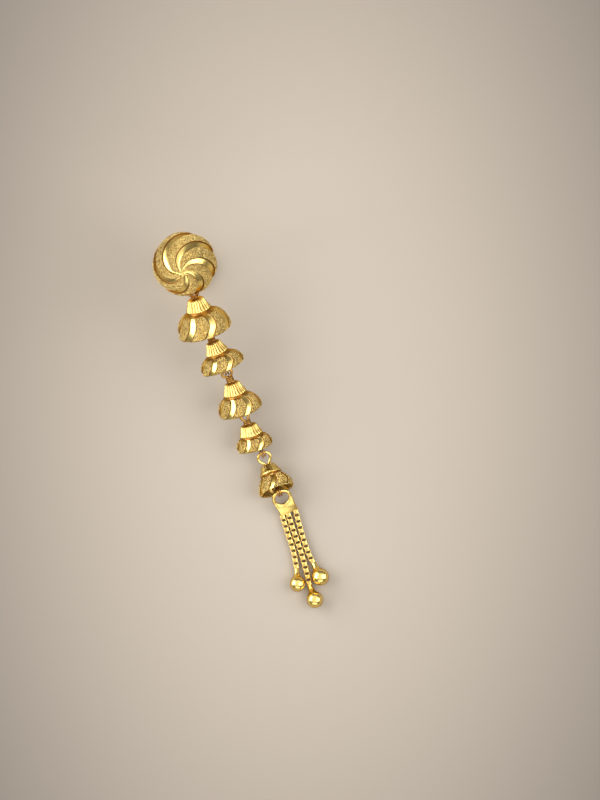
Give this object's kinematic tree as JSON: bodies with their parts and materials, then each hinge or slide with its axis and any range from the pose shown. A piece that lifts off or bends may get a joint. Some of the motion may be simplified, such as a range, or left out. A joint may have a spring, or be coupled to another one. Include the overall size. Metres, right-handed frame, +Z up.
{
  "type": "jhumka earring",
  "caption": "Gold ear stud with a swirled ball, a drop of hollow petalled bells on wire links and a tassel of box chains with teardrop beads, lying on its nut.",
  "frame": {"origin": "middle of the underside of the jewel's box, on the surface that it lies on", "axes": "+Z up from the surface, +Y from the tassel to the ball, +X to the right seen from above with the ball at the top"},
  "size_m": [0.0082, 0.0514, 0.0154],
  "materials": {
    "stippled_gold": "yellow gold, stippled matte petals between polished flutes",
    "polished_gold": "polished yellow gold, slightly hammered",
    "wire_gold": "polished yellow gold wire",
    "chain_gold": "polished yellow gold box chain, dark between its links",
    "nut_gold": "plain satin yellow gold"
  },
  "bodies": {
    "root": {"ball_stud": "stippled_gold", "screw_back": "nut_gold", "tassel_ring": "wire_gold", "bell_1": "stippled_gold", "bell_2": "stippled_gold", "bell_3": "stippled_gold", "bell_4": "stippled_gold", "bell_5": "stippled_gold", "bell_link_1": "wire_gold", "bell_link_2": "wire_gold", "bell_link_3": "wire_gold", "bell_link_4": "wire_gold", "bell_link_5": "wire_gold", "chain_strand_1": "chain_gold", "chain_strand_2": "chain_gold", "chain_strand_3": "chain_gold", "end_bead_1": "polished_gold", "end_bead_2": "polished_gold", "end_bead_3": "polished_gold"}
  },
  "joints": []
}
